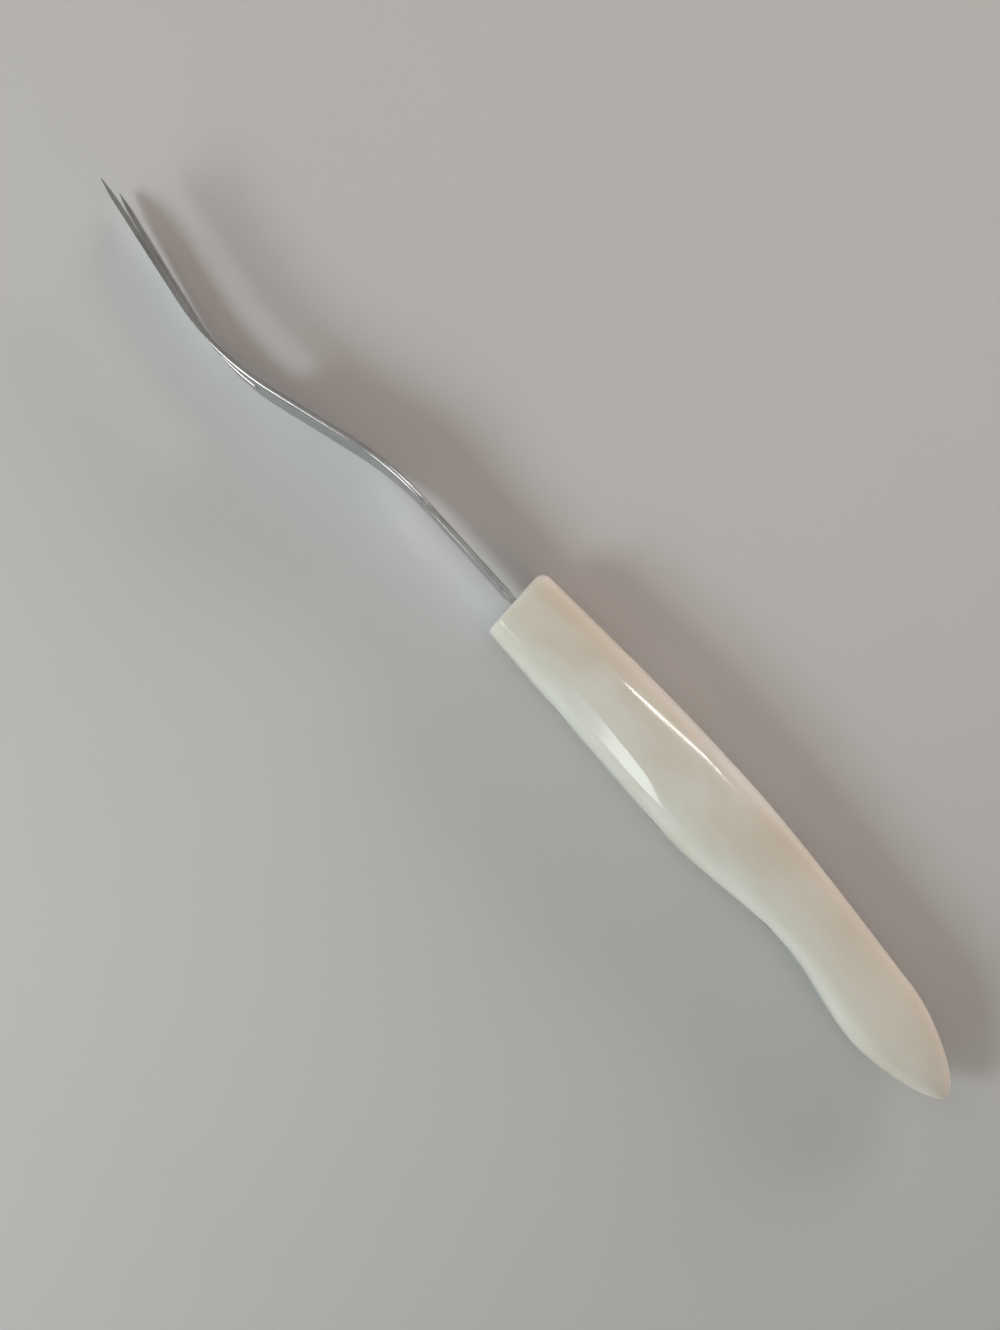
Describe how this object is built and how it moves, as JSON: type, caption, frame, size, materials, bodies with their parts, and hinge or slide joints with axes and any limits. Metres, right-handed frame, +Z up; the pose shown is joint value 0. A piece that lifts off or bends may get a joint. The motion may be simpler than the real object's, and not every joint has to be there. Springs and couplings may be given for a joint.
{
  "type": "turning fork",
  "caption": "Turning fork with a slim, double-bent stainless blade split into pointed tines, riveted in a smooth waisted resin handle with a beaked butt; lifts and turns food.",
  "frame": {"origin": "on the flat land of the handle's side that the fork lies on, 38 mm behind the handle's front face, in line with the handle's axis", "axes": "+X along the handle towards the tines, +Y towards the belly of the handle, +Z up from the surface it lies on"},
  "size_m": [0.25, 0.024, 0.017],
  "materials": {
    "handle": "glossy pearl resin, faintly marbled",
    "blade": "polished stainless, edges rounded",
    "rivets": "nickel alloy, ground flush and polished"
  },
  "bodies": {
    "root": {"fork_blade": "blade", "handle": "handle", "rivet_pin_front": "rivets", "rivet_pin_middle": "rivets", "rivet_pin_rear": "rivets", "rivet_sleeve_front": "rivets", "rivet_sleeve_middle": "rivets", "rivet_sleeve_rear": "rivets"}
  },
  "joints": []
}
